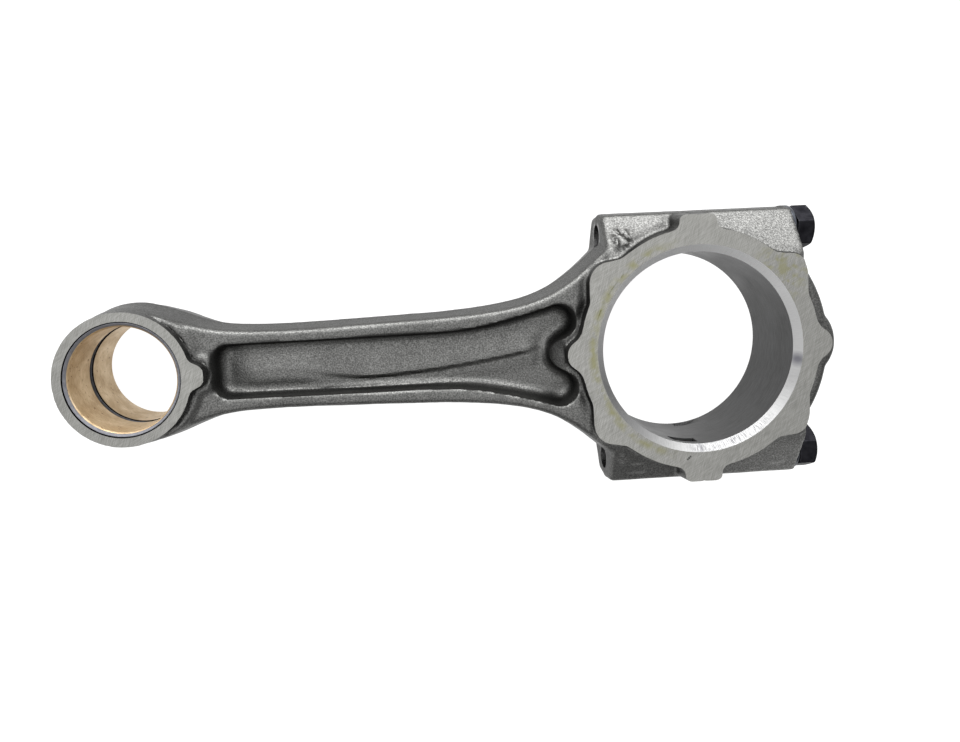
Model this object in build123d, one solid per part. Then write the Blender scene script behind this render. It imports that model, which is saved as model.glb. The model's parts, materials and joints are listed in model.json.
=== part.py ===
from build123d import *
import os
from math import cos, hypot, radians, sin, sqrt, tan

os.makedirs("parts", exist_ok=True)

# Frame: origin at the centre of the crank bore, halfway through its width.
# +X runs away from the beam towards the cap, +Z along the crank bore axis.

# Overall
CENTRES = 204.0
FACE_Z = 19.0
FORGE_DRAFT = 7.0
OVERCUT = 1.0

# Crank end
CRANK_R = 35.0
CRANK_CHAMFER = 2.5
LAND_R = 43.6
LAND_DEPTH = 12.0
LAND_DRAFT = 6.0
NOSE_X = 42.9
NOSE_R = 5.5
LUG_WIDTH = 13.6
LUG_TIP = 48.2
LUG_CORNER_R = 2.0
CORNER_X = 39.6
CORNER_Y = 32.8
CORNER_R = 7.5
LAND_BLENDS = [(7.0, 0, 8), (5.0, 8, 40), (3.0, 40, 50)]

# Bolt bosses either side of the crank bore
BOSS_END_X = -32.3
SEAT_X = 38.9
FLANK_Y = 50.6
ROOF_FOOT_Y = 33.5
ROOF_FOOT_Z = 18.1
ROOF_SLOPE = 0.6
BOSS_ROUND = 8.0
BOSS_END_ROUND = 1.5

# Cap back
CAP_BACK_R = 51.2
CAP_BACK_Z = 15.0
CAP_BACK_DRAFT = 6.0
CAP_BACK_ROUND = 3.0
CAP_BULGE_X = 38.4
CAP_BULGE_R = 15.5

# Bolts, M10 with a 15 mm hexagon
BOLT_Y = 42.4
BOLT_R = 5.0
BOLT_TIP_X = -27.5
BOLT_TIP_CHAMFER = 1.0
THREAD_START_X = -4.0
THREAD_R = 4.9
THREAD_RELIEF_R = 4.5
THREAD_RELIEF_LENGTH = 2.0
HEX_FLAT = 15.0
HEX_TURN_UPPER = 15.6
HEX_TURN_LOWER = 6.6
HEAD_END_X = 48.8
HEAD_FACE_R = 7.1
HEAD_FACE_LENGTH = 0.5
HEAD_CROWN_INSET = 0.3
HEAD_CROWN_ANGLE = 30.0
WASHER_THICK = 2.6
WASHER_R = 8.6
WASHER_BORE_R = 5.3
WASHER_EDGE = 0.3
CAP_HOLE_R = 5.08
TAPPED_R = 5.06
TAPPED_END_X = -29.0
DRILL_R = 4.3
SPOTFACE_R = 9.3

# Small forging pip left on the cap's upper flank
PIP_X = 37.0
PIP_Z = 4.0
PIP_FOOT_R = 1.8
PIP_TOP_R = 1.2
PIP_TOP_Y = 50.9
PIP_HEIGHT = 1.6

# Bearing tang slots
TANG_Z_ROD = 11.0
TANG_Z_CAP = -14.0
TANG_WIDTH = 5.0
TANG_CUTTER_R = 18.2
TANG_DEPTH_Y = 36.6

# Pin end
PIN_BOSS_MID_R = 25.9
PIN_BOSS_DRAFT = 7.0
PIN_LAND_R = 23.5
PIN_NOSE_X = 23.7
PIN_NOSE_R = 4.5
PIN_NOSE_BLEND = 4.0
PIN_LAND_DEPTH = 6.5
PIN_HOUSING_R = 20.0
PIN_HOUSING_EDGE = 0.45
BUSH_R = 18.5
BUSH_LAYER_R = 18.95
BUSH_FACE_Z = 18.8
BUSH_EDGE = 0.25
BUSH_GAP = 2.4

# Beam
BEAM_HALF_WIDTH = [
    (-197.3, 25.0),
    (-188.0, 22.0),
    (-176.0, 17.6),
    (-160.0, 15.7),
    (-115.0, 16.3),
    (-75.0, 18.4),
    (-52.0, 24.4),
    (-34.0, 37.6),
    (-28.0, 43.0),
]
RAIL_Z = [
    (-200.0, 17.0),
    (-188.0, 16.2),
    (-174.0, 13.2),
    (-150.0, 13.0),
    (-85.0, 13.0),
    (-52.0, 15.5),
    (-20.0, 15.6),
]
RAIL_ROUND = 2.0

# Beam pockets
POCKET_FLOOR_Z = 4.0
POCKET_RIM_Z = 13.0
POCKET_TOP_Z = 20.0
POCKET_DRAFT = 5.0
POCKET_FOOT_X = -174.7
POCKET_CORNER_R = 5.5
POCKET_HALF_WIDTH = [(-140.0, 10.0), (-108.0, 10.2), (-82.0, 11.2), (-66.0, 14.3)]
POCKET_START_HALF = 9.9
POCKET_LOBE_X = -50.4
POCKET_LOBE_Y = 12.0
POCKET_LOBE_R = 6.3
POCKET_LOBE_LEAVE = 108.0
POCKET_LOBE_MIDDLE = 50.0
POCKET_LOBE_ARRIVE = -8.0
POCKET_NOTCH_X = -52.9
POCKET_FLOOR_ROUND = 4.2


def mirrored_wire(half):
    """Close an open half outline, drawn on the +Y side, with its mirror image."""
    other = [edge.mirror(Plane.XZ) for edge in half]
    return Wire(half + other)


def beam_section(z):
    inset = abs(z) * tan(radians(FORGE_DRAFT))
    points = [(x, y - inset, z) for x, y in BEAM_HALF_WIDTH]
    upper = Spline(*points, tangents=[(0.96, -0.27, 0), (0.74, 0.67, 0)])
    x_left, y_left, _ = points[0]
    x_right, y_right, _ = points[-1]
    left = Line((x_left, 0, z), (x_left, y_left, z))
    right = Line((x_right, y_right, z), (x_right, 0, z))
    return Face(mirrored_wire([left, upper, right]))


def beam_blank():
    half_depth = FACE_Z - OVERCUT
    middle = beam_section(0)
    front = loft([middle, beam_section(half_depth)], ruled=True)
    back = loft([middle, beam_section(-half_depth)], ruled=True)
    outline = front + back

    top = Spline(*[(x, 0, z) for x, z in RAIL_Z])
    x_first, z_first = RAIL_Z[0]
    x_last, z_last = RAIL_Z[-1]
    side = Wire(
        [
            top,
            Line((x_last, 0, z_last), (x_last, 0, -z_last)),
            top.mirror(Plane.XY),
            Line((x_first, 0, -z_first), (x_first, 0, z_first)),
        ]
    )
    depth = extrude(Face(side), amount=FACE_Z * 3, both=True)
    blank = outline & depth
    rails = blank.edges().filter_by(lambda e: e.length > CENTRES / 2).filter_by(
        lambda e: abs((e @ 0.5).Z) > 1
    )
    return fillet(rails, RAIL_ROUND)


def pocket_section(z):
    inset = (POCKET_RIM_Z - z) * tan(radians(POCKET_DRAFT))
    foot = POCKET_FOOT_X + inset
    corner = POCKET_CORNER_R - inset / 2
    start = POCKET_START_HALF - inset
    lobe = POCKET_LOBE_R - inset
    notch = POCKET_NOTCH_X - inset
    leave = radians(POCKET_LOBE_LEAVE)
    middle = radians(POCKET_LOBE_MIDDLE)
    arrive = radians(POCKET_LOBE_ARRIVE)
    lobe_start = (POCKET_LOBE_X + lobe * cos(leave), POCKET_LOBE_Y + lobe * sin(leave), z)
    lobe_crown = (POCKET_LOBE_X + lobe * cos(middle), POCKET_LOBE_Y + lobe * sin(middle), z)
    lobe_end = (POCKET_LOBE_X + lobe * cos(arrive), POCKET_LOBE_Y + lobe * sin(arrive), z)
    turn = corner * (1 - sqrt(0.5))
    wall = [(x, y - inset, z) for x, y in POCKET_HALF_WIDTH]
    half = [
        Line((foot, 0, z), (foot, start - corner, z)),
        ThreePointArc((foot, start - corner, z), (foot + turn, start - turn, z), (foot + corner, start, z)),
        Spline(
            (foot + corner, start, z),
            *wall,
            lobe_start,
            tangents=[(1, 0, 0), (sin(leave), -cos(leave), 0)],
        ),
        ThreePointArc(lobe_start, lobe_crown, lobe_end),
        Spline(lobe_end, (notch, 0, z), tangents=[(sin(arrive), -cos(arrive), 0), (0, -1, 0)]),
    ]
    return Face(mirrored_wire(half))


def pocket():
    tool = loft([pocket_section(POCKET_FLOOR_Z), pocket_section(POCKET_TOP_Z)], ruled=True)
    floor = tool.faces().sort_by(Axis.Z)[0]
    return fillet(floor.edges(), POCKET_FLOOR_ROUND)


def boss_bar(x_start, x_end):
    """Both bolt bosses as one bar: flat flanks, roofs sloping up towards the bore."""
    draft = tan(radians(FORGE_DRAFT))
    eave_z = (ROOF_FOOT_Z - ROOF_SLOPE * (FLANK_Y - ROOF_FOOT_Y)) / (1 - ROOF_SLOPE * draft)
    eave_y = FLANK_Y - draft * eave_z
    with BuildSketch(Plane.YZ.offset(x_start)) as section:
        with BuildLine():
            Polyline(
                (-FLANK_Y, 0),
                (-eave_y, -eave_z),
                (-ROOF_FOOT_Y, -ROOF_FOOT_Z),
                (ROOF_FOOT_Y, -ROOF_FOOT_Z),
                (eave_y, -eave_z),
                (FLANK_Y, 0),
                (eave_y, eave_z),
                (ROOF_FOOT_Y, ROOF_FOOT_Z),
                (-ROOF_FOOT_Y, ROOF_FOOT_Z),
                (-eave_y, eave_z),
                close=True,
            )
        make_face()
        eaves = section.vertices().filter_by(lambda v: abs(abs(v.Y) - eave_y) < 0.01)
        fillet(eaves, BOSS_ROUND)
    return extrude(section.sketch, amount=x_end - x_start)


def crank_land():
    """Outline of the machined face round the crank bore: a ring with eight lobes."""
    sketch = Circle(LAND_R)
    sketch += RectangleRounded(2 * CORNER_X, 2 * CORNER_Y, CORNER_R)
    sketch += RectangleRounded(LUG_WIDTH, 2 * LUG_TIP, LUG_CORNER_R)
    for x in (-NOSE_X, NOSE_X):
        sketch += Pos(x, 0) * Circle(NOSE_R)
    for blend, low, high in LAND_BLENDS:
        corners = sketch.vertices().filter_by(
            lambda v: low < abs(v.Y) < high and abs(hypot(v.X, v.Y) - LAND_R) < 0.05
        )
        sketch = fillet(corners, blend)
    return sketch


def pin_land(grow):
    """Outline of the machined face round the pin bore: a ring with one nose."""
    sketch = Circle(PIN_LAND_R + grow) + Pos(PIN_NOSE_X, 0) * Circle(PIN_NOSE_R + grow)
    inner = sketch.vertices().filter_by(lambda v: abs(v.Y) > 1)
    return fillet(inner, PIN_NOSE_BLEND - grow)


def both_pads(top, foot, depth):
    """Raise a pad to both machined faces from a wider foot further in."""
    upper = Pos(0, 0, FACE_Z) * top
    lower = Pos(0, 0, FACE_Z - depth) * foot
    front = loft([upper.face(), lower.face()], ruled=True)
    return front + front.mirror(Plane.XY)


def crank_pads():
    outline = crank_land()
    spread = offset(outline, amount=LAND_DEPTH * tan(radians(LAND_DRAFT)))
    return both_pads(outline, spread, LAND_DEPTH)


def pin_pads():
    spread = PIN_LAND_DEPTH * tan(radians(LAND_DRAFT))
    return both_pads(pin_land(0), pin_land(spread), PIN_LAND_DEPTH)


def cone_to_face(mid_r, draft, height, edge_round):
    """Round forged boss, widest halfway through, with softened outer edges."""
    half = Cone(
        mid_r,
        mid_r - height * tan(radians(draft)),
        height,
        align=(Align.CENTER, Align.CENTER, Align.MIN),
    )
    if edge_round:
        half = fillet(half.edges().filter_by(GeomType.CIRCLE).sort_by(Axis.Z)[-1], edge_round)
    return half + half.mirror(Plane.XY)


def bore_tool(radius, mouth):
    """Cutter for a through bore with a 45 degree mouth at both machined faces."""
    align = (Align.CENTER, Align.CENTER, Align.MAX)
    cone = Cone(radius - OVERCUT, radius + mouth, mouth + OVERCUT, align=align)
    front = Pos(0, 0, FACE_Z) * cone
    return Cylinder(radius, 3 * FACE_Z) + front + front.mirror(Plane.XY)


def tang_slot(z, side):
    """Slot for a bearing shell tang, cut into the lower bore wall up to the joint."""
    cutter = Pos(0, TANG_CUTTER_R - TANG_DEPTH_Y, z) * Cylinder(TANG_CUTTER_R, TANG_WIDTH)
    keep = Pos(side * CRANK_R / 2, -CRANK_R, z) * Box(CRANK_R, CRANK_R, CRANK_R)
    return cutter & keep


def along_x(radius, x_start, x_end, y):
    return Pos(x_start, y, 0) * Rot(0, 90, 0) * Cylinder(
        radius, x_end - x_start, align=(Align.CENTER, Align.CENTER, Align.MIN)
    )


def block(x_start, x_end, half_y):
    return Box(
        x_end - x_start, 2 * half_y, 4 * FACE_Z, align=(Align.MIN, Align.CENTER, Align.CENTER)
    ).moved(Pos(x_start, 0, 0))


def rod_body():
    bar = boss_bar(BOSS_END_X, 0)
    rim = bar.faces().sort_by(Axis.X)[0].edges()
    body = beam_blank() + fillet(rim, BOSS_END_ROUND)
    pin_boss = cone_to_face(PIN_BOSS_MID_R, PIN_BOSS_DRAFT, FACE_Z, 0)
    pin_boss += pin_pads()
    body += Pos(-CENTRES, 0, 0) * pin_boss
    body += crank_pads()
    body -= block(0, 2 * FLANK_Y, 2 * FLANK_Y)
    recess = pocket()
    body -= recess
    body -= recess.mirror(Plane.XY)
    body -= bore_tool(CRANK_R, CRANK_CHAMFER)
    body -= Pos(-CENTRES, 0, 0) * bore_tool(PIN_HOUSING_R, PIN_HOUSING_EDGE)
    body -= tang_slot(TANG_Z_ROD, -1)
    for y in (BOLT_Y, -BOLT_Y):
        body -= along_x(TAPPED_R, TAPPED_END_X, OVERCUT, y)
        body -= along_x(DRILL_R, BOSS_END_X - OVERCUT, TAPPED_END_X, y)
    return body


def bearing_cap():
    back = cone_to_face(CAP_BACK_R, CAP_BACK_DRAFT, CAP_BACK_Z, CAP_BACK_ROUND)
    bulge = cone_to_face(CAP_BULGE_R, CAP_BACK_DRAFT, CAP_BACK_Z, CAP_BACK_ROUND)
    body = back & block(0, 2 * FLANK_Y, ROOF_FOOT_Y)
    body += Pos(CAP_BULGE_X, 0, 0) * bulge
    body += boss_bar(0, SEAT_X)
    body += crank_pads()
    body -= block(-2 * FLANK_Y, 0, 2 * FLANK_Y)
    body -= bore_tool(CRANK_R, CRANK_CHAMFER)
    body -= tang_slot(TANG_Z_CAP, 1)
    for y in (BOLT_Y, -BOLT_Y):
        body -= along_x(CAP_HOLE_R, -OVERCUT, SEAT_X + OVERCUT, y)
        body -= along_x(SPOTFACE_R, SEAT_X, CAP_BACK_R + CAP_BULGE_R, y)
    pip = Cone(PIP_FOOT_R, PIP_TOP_R, PIP_HEIGHT, align=(Align.CENTER, Align.CENTER, Align.MAX))
    return body + Pos(PIP_X, PIP_TOP_Y, PIP_Z) * Rot(-90, 0, 0) * pip


def cap_bolt(y, turn):
    """Bolt drawn in place: chamfered hexagon, bearing face, shank, relief and thread."""
    hex_start = SEAT_X + WASHER_THICK + HEAD_FACE_LENGTH
    hexagon = RegularPolygon(HEX_FLAT / 2, 6, major_radius=False, rotation=turn)
    head = extrude(Plane.YZ.offset(hex_start) * hexagon, amount=HEAD_END_X - hex_start)
    corner_r = HEX_FLAT / sqrt(3)
    crown_r = HEX_FLAT / 2 - HEAD_CROWN_INSET
    crown_length = (corner_r - crown_r) * tan(radians(HEAD_CROWN_ANGLE))
    envelope = along_x(corner_r, hex_start - OVERCUT, HEAD_END_X, 0)
    rim = envelope.faces().sort_by(Axis.X)[-1].edges()
    head = head & chamfer(rim, crown_length, corner_r - crown_r)
    bolt = head + along_x(HEAD_FACE_R, SEAT_X + WASHER_THICK, hex_start, 0)
    bolt += along_x(BOLT_R, THREAD_START_X, hex_start, 0)
    bolt += along_x(THREAD_RELIEF_R, THREAD_START_X - THREAD_RELIEF_LENGTH, THREAD_START_X, 0)
    thread = along_x(THREAD_R, BOLT_TIP_X, THREAD_START_X - THREAD_RELIEF_LENGTH, 0)
    bolt += chamfer(thread.faces().sort_by(Axis.X)[0].edges(), BOLT_TIP_CHAMFER)
    return Pos(0, y, 0) * bolt


def washer(y):
    ring = along_x(WASHER_R, SEAT_X, SEAT_X + WASHER_THICK, y)
    ring = chamfer(ring.edges().filter_by(GeomType.CIRCLE), WASHER_EDGE)
    return ring - along_x(WASHER_BORE_R, SEAT_X - OVERCUT, SEAT_X + WASHER_THICK + OVERCUT, y)


def bush_layer(outer_r, inner_r, side):
    """One bush layer, from the mid gap out to the conical mouth near a machined face."""
    base = (Align.CENTER, Align.CENTER, Align.MIN)
    length = BUSH_FACE_Z - BUSH_GAP / 2
    mouth_r = PIN_HOUSING_R - BUSH_EDGE
    core_r = BUSH_R - OVERCUT
    ring = Cylinder(outer_r, length, align=base) - Cylinder(inner_r, length, align=base)
    mouth = Cone(core_r, mouth_r, mouth_r - core_r, align=base)
    ring -= Pos(0, 0, length - (mouth_r - core_r)) * mouth
    layer = Pos(-CENTRES, 0, BUSH_GAP / 2) * ring
    if side < 0:
        layer = layer.mirror(Plane.XY)
    return layer


PARTS = {
    "rod_body": rod_body(),
    "bearing_cap": bearing_cap(),
    "cap_bolt_upper": cap_bolt(BOLT_Y, HEX_TURN_UPPER),
    "cap_bolt_lower": cap_bolt(-BOLT_Y, HEX_TURN_LOWER),
    "bolt_washer_upper": washer(BOLT_Y),
    "bolt_washer_lower": washer(-BOLT_Y),
    "pin_bush_backing_front": bush_layer(PIN_HOUSING_R, BUSH_LAYER_R, 1),
    "pin_bush_backing_rear": bush_layer(PIN_HOUSING_R, BUSH_LAYER_R, -1),
    "pin_bush_lining_front": bush_layer(BUSH_LAYER_R, BUSH_R, 1),
    "pin_bush_lining_rear": bush_layer(BUSH_LAYER_R, BUSH_R, -1),
}

for node, solid in PARTS.items():
    export_step(solid, f"parts/{node}.step")
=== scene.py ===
import json
from math import cos, pi, radians, sin

import bmesh
import bpy
import numpy as np
from mathutils import Matrix, Vector, kdtree, noise


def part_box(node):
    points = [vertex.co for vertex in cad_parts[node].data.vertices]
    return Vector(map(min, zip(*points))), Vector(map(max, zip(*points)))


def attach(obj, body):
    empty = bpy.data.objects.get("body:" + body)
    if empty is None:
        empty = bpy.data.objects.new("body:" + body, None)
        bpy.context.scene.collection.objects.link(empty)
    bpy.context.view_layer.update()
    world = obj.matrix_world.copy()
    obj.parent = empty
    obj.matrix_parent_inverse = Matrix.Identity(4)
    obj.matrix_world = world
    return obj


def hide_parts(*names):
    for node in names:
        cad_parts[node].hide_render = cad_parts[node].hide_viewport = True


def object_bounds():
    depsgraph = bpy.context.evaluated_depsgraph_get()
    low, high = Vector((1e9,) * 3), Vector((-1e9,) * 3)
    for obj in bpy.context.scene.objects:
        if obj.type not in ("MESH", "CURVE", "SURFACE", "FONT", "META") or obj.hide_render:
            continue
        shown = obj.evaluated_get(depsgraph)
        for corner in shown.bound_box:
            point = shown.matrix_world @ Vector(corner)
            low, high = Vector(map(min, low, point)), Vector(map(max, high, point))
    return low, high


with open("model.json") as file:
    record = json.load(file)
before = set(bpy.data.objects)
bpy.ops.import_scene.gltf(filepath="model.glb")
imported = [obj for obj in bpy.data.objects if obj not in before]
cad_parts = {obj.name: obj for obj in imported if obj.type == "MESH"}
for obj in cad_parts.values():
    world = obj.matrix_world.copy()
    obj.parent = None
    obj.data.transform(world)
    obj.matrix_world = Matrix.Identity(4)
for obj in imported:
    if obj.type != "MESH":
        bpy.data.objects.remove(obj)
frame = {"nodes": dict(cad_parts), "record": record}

CAD_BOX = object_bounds()
MM = 0.001

# ---------------------------------------------------------------- sizes, from the frame

MOUNTS = {mount["name"]: mount for mount in frame["record"]["mounts"]}
CRANK_R = MOUNTS["big_end_bore"]["dims"]["r_mm"] * MM
CRANK_WALL = MOUNTS["big_end_bore"]["dims"]["length_mm"] * MM
PIN_X = MOUNTS["small_end_bore"]["pos_m"][0]
BUSH_R = MOUNTS["small_end_bore"]["dims"]["r_mm"] * MM
FACE_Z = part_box("rod_body")[1].z
CRANK_CHAMFER = FACE_Z - CRANK_WALL / 2
BUSH_LOW, BUSH_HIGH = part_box("pin_bush_backing_front")
PIN_HOUSING_R = (BUSH_HIGH.x - BUSH_LOW.x) / 2
BUSH_MID_Z = BUSH_LOW.z
BUSH_FACE_Z = BUSH_HIGH.z
LINING_LOW, LINING_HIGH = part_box("pin_bush_lining_front")
LINING_R = (LINING_HIGH.x - LINING_LOW.x) / 2
WASHER_LOW, WASHER_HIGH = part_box("bolt_washer_upper")
SEAT_X = WASHER_LOW.x
WASHER_TOP_X = WASHER_HIGH.x
WASHER_R = (WASHER_HIGH.z - WASHER_LOW.z) / 2
BOLT_Y = (WASHER_LOW.y + WASHER_HIGH.y) / 2
BOLT_TIP_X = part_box("cap_bolt_upper")[0].x
BOSS_END_X = -32.3 * MM

# Threads and bolt holes
THREAD_PITCH = 1.25 * MM
THREAD_R = 4.9 * MM
THREAD_DEPTH = 0.5 * MM
THREAD_START_X = -6.0 * MM
SHANK_START_X = -4.0 * MM
SHANK_R = 5.0 * MM
RELIEF_R = 4.4 * MM
TAPPED_R = 5.06 * MM
TAPPED_END_X = -29.0 * MM
DRILL_R = 4.3 * MM
CAP_HOLE_R = 5.08 * MM
CAP_HOLE_SINK = 0.5 * MM
SPOTFACE_R = 9.3 * MM
SPOTFACE_DEPTH = 0.04 * MM
PLUG_R = 5.4 * MM
PLUG_INSET = 0.05 * MM
PLUG_JOINT_GAP = 0.02 * MM
TIP_CHAMFER = 1.0 * MM
TIP_RISE = 0.7 * MM
NECK_FRONT = 0.3 * MM
NECK_BACK = 0.6 * MM
SHANK_OVERLAP = 2.0 * MM
BUSH_RIM = 0.25 * MM

# Steps of a thread per pitch, and segments round each turned shape
THREAD_STEPS = 8
BOLT_SEGMENTS = 48
SPOTFACE_SEGMENTS = 96
TANG_SEGMENTS = 128
WASHER_SEGMENTS = 144
PIN_SEGMENTS = 192
BUSH_SEGMENTS = 240
CRANK_SEGMENTS = 288

# Bearing tang slots: one in the rod, one in the cap
TANG_WIDTH = 5.0 * MM
TANG_CUTTER_R = 18.2 * MM
TANG_CENTRE_Y = -18.4 * MM
TANG_Z_ROD = 11.0 * MM
TANG_Z_CAP = -14.0 * MM

# Pin housing mouth
SEAM_WIDTH = 0.32 * MM
SEAM_DEPTH = 0.7 * MM

# Forging mesh
VOXEL = 0.72 * MM
HEAD_VOXEL = 0.28 * MM
STOCK = 2.5 * MM
SMOOTH_PASSES = 4
HEAD_SMOOTH_PASSES = 4
FAR = 400 * MM
HALF_SPACE = 100 * MM
TOUCH = 0.01 * MM

# How far from a machined surface the voxel mesh still counts as that surface
CRANK_MARGIN = 0.4 * MM
PIN_MARGIN = 0.9 * MM
FACE_MARGIN = 0.4 * MM
JOINT_MARGIN = 0.3 * MM

# Beam pocket floors
POCKET_START_X = -174.0 * MM
POCKET_END_X = -53.0 * MM
POCKET_FLOOR_LOW = 3.0 * MM
POCKET_FLOOR_HIGH = 8.0 * MM
FLOOR_FACING = (0.5, 0.8)
POCKET_START_EASE = 14.0 * MM
POCKET_END_EASE = 9.0 * MM
CROWN_HEIGHT = 2.1 * MM
CROWN_HALF_WIDTH = 10.5 * MM
FOLD_START_X = -142.0 * MM
FOLD_LENGTH = 87.0 * MM
FOLD_START_Y = -5.0 * MM
FOLD_RISE = 7.9 * MM
FOLD_POWER = 2.2
FOLD_SHARE = 0.65
FOLD_EASE_BEFORE = 8.0 * MM
FOLD_EASE_AFTER = 25.0 * MM
FOLD_FADE_X = (-64.0 * MM, -55.0 * MM)
FOLD_START_SHIFT = 4.0 * MM
FOLD_STEP = 2.0 * MM
FOLD_FOOT = 9.0 * MM

# Valleys and ridges where the forging meets a machined land
OUTLINE_STEP = 0.3 * MM
CRANK_RIM = 0.5 * MM
PIN_RIM = 1.5 * MM
ROOT_REACH = 4.0 * MM
ROOT_HEIGHTS = (7.0 * MM, 11.0 * MM)
ROOT_TOP = (0.9 * MM, 0.2 * MM)
ROOT_SIDES = 8.0 * MM
ROOT_POWER = 1.2
LOBE_HALF_WIDTHS = (16.0 * MM, 22.0 * MM)
PIN_RIDGE = 1.1 * MM
PIN_RIDGE_RISE = (0.2 * MM, 1.4 * MM)
PIN_RIDGE_FALL = 1.8 * MM
ROD_ROOT_UPPER = 1.1 * MM
ROD_ROOT_LOWER = 0.4 * MM
CAP_ROOT = 0.6 * MM
LOBE_ROOT = 1.0 * MM
BEAM_MIDDLE_X = -110.0 * MM

# Strips between the land noses and the ends of the pocket: (x, height) at both ends, half width
NOSE_STRIPS = [
    ((-176.0 * MM, 15.5 * MM), (-173.0 * MM, 8.0 * MM), 4.5 * MM),
    ((-48.3 * MM, 15.5 * MM), (-55.0 * MM, 6.0 * MM), 6.0 * MM),
]
NOSE_STRIP_EASE = 4.0 * MM

# Marks on the boss roofs: a scuff on the upper one, plain pads on the lower ones
SCUFF_CENTRE = (-26.0 * MM, 41.0 * MM)
SCUFF_R = 5.5 * MM
SCUFF_DEPTH = 0.5 * MM
SCUFF_GRAIN = 1.7 * MM
SCUFF_SEED = 5
PAD_EDGE = 0.7 * MM
ROD_PAD = ((-22.5 * MM, -44.2 * MM), 3.0 * MM, 2.0 * MM, 0.5 * MM)
CAP_PAD = ((30.5 * MM, -44.0 * MM), 2.6 * MM, 1.7 * MM, 0.4 * MM)

# Blasted skin: (height, feature size, seed) of each noise, and the flash line
SKIN_WAVES = [(0.07 * MM, 9.0 * MM, 3), (0.04 * MM, 2.2 * MM, 11)]
FLASH_HEIGHT = 0.16 * MM
FLASH_HALF_WIDTH = 0.9 * MM
SIDE_FACING = (0.2, 0.4)


# ---------------------------------------------------------------- mesh helpers


def add_object(name, mesh):
    obj = bpy.data.objects.new(name, mesh)
    bpy.context.scene.collection.objects.link(obj)
    return obj


def copy_of_node(name, node):
    """A closed copy of a CAD node's mesh, its split corners welded."""
    mesh = frame["nodes"][node].data.copy()
    mesh.materials.clear()
    work = bmesh.new()
    work.from_mesh(mesh)
    bmesh.ops.remove_doubles(work, verts=work.verts, dist=1e-7)
    work.to_mesh(mesh)
    work.free()
    for layer in [layer.name for layer in mesh.attributes if "normal" in layer.name]:
        mesh.attributes.remove(mesh.attributes[layer])
    return add_object(name, mesh)


def apply_modifier(obj, kind, **settings):
    modifier = obj.modifiers.new(kind, kind)
    for key, value in settings.items():
        setattr(modifier, key, value)
    seen = obj.evaluated_get(bpy.context.evaluated_depsgraph_get())
    mesh = bpy.data.meshes.new_from_object(seen)
    obj.modifiers.clear()
    obj.data = mesh


def cut(obj, tool, operation="DIFFERENCE"):
    apply_modifier(obj, "BOOLEAN", operation=operation, solver="MANIFOLD", object=tool)
    bpy.data.objects.remove(tool)


def smooth(obj, passes):
    apply_modifier(obj, "SMOOTH", factor=0.5, iterations=passes)


def points_of(mesh):
    points = np.empty(len(mesh.vertices) * 3, np.float32)
    mesh.vertices.foreach_get("co", points)
    return points.reshape(-1, 3).astype(float)


def normals_of(mesh):
    normals = np.empty(len(mesh.vertices) * 3, np.float32)
    mesh.vertex_normals.foreach_get("vector", normals)
    return normals.reshape(-1, 3).astype(float)


def set_points(mesh, points):
    mesh.vertices.foreach_set("co", points.astype(np.float32).ravel())
    mesh.update()


def finish_tool(work, matrix):
    bmesh.ops.recalc_face_normals(work, faces=work.faces)
    mesh = bpy.data.meshes.new("tool")
    work.to_mesh(mesh)
    work.free()
    mesh.transform(matrix)
    return add_object("tool", mesh)


def turned(rows, segments, matrix, closed=False):
    """Solid turned about local Z. A row is (radius, height), and a threaded row adds a depth.

    With closed the last row joins the first, which leaves a hole along the axis.
    """
    work = bmesh.new()
    rings = []
    for radius, height, *depth in rows:
        ring = []
        for i in range(segments):
            angle = 2 * pi * i / segments
            reach = radius
            if depth:
                wave = (height / THREAD_PITCH - i / segments) % 1
                reach -= depth[0] * abs(2 * wave - 1)
            ring.append(work.verts.new((reach * cos(angle), reach * sin(angle), height)))
        rings.append(ring)
    following = rings[1:] + rings[:1] if closed else rings[1:]
    for lower, upper in zip(rings, following):
        for i in range(segments):
            j = (i + 1) % segments
            work.faces.new((lower[i], lower[j], upper[j], upper[i]))
    if not closed:
        work.faces.new(rings[0])
        work.faces.new(rings[-1])
    return finish_tool(work, matrix)


def box_tool(low, high):
    work = bmesh.new()
    middle = (Vector(low) + Vector(high)) / 2
    size = Vector(high) - Vector(low)
    place = Matrix.Translation(middle) @ Matrix.Diagonal((*size, 1))
    bmesh.ops.create_cube(work, size=1, matrix=place)
    return finish_tool(work, Matrix.Identity(4))


def along_x(y):
    """Matrix that lays local Z along +X at height y, so a row's height is its x."""
    return Matrix.Translation((0, y, 0)) @ Matrix.Rotation(pi / 2, 4, "Y")


def threaded_rows(crest_r, depth, start, end):
    """Rows of a thread from start to end, running out to nothing at both ends."""
    count = round((end - start) / THREAD_PITCH * THREAD_STEPS)
    rows = []
    for i in range(count + 1):
        runout = min(i, count - i, THREAD_STEPS) / THREAD_STEPS
        rows.append((crest_r, start + (end - start) * i / count, depth * runout))
    return rows


# ---------------------------------------------------------------- forging


def ease(low, high, value):
    """Smooth step from 0 at low to 1 at high."""
    t = np.clip((value - low) / (high - low), 0, 1)
    return t * t * (3 - 2 * t)


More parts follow.
